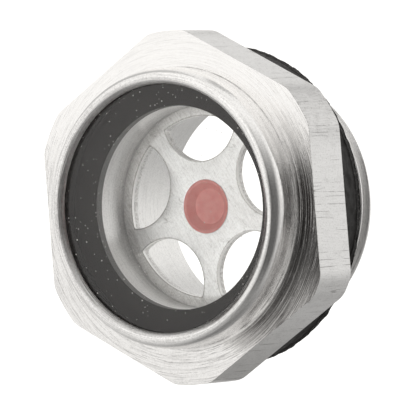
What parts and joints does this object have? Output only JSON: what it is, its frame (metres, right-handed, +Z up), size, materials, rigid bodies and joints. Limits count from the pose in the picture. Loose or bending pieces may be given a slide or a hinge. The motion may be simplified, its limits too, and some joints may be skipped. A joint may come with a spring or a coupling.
{
  "type": "oil level gauge",
  "caption": "Round oil level sight glass in a hexagon-headed threaded aluminium body, with a red-centred reflector behind the window and a rubber sealing ring.",
  "frame": {"origin": "on the thread axis, in the plane of the machine wall that the rear face of the sealing ring presses on", "axes": "+Y along the thread axis into the oil sump, -Y out of the window towards the viewer, +Z up with one hexagon corner at the top, +X to the viewer's right and square to a wrench flat"},
  "size_m": [0.034, 0.0197, 0.0368],
  "materials": {
    "turned_aluminium": "bright turned and drawn, unpolished",
    "clear_glass": "clear and flat, with dust specks",
    "gasket_rubber": "smooth black nitrile rubber",
    "stamped_aluminium": "matt rolled sheet with sheared edges",
    "red_enamel": "semi-gloss red enamel",
    "ring_rubber": "matt black nitrile rubber with a rough trimmed edge"
  },
  "bodies": {
    "root": {"body": "turned_aluminium", "window": "clear_glass", "window_gasket": "gasket_rubber", "reflector": "stamped_aluminium", "level_mark": "red_enamel", "sealing_ring": "ring_rubber"}
  },
  "joints": []
}
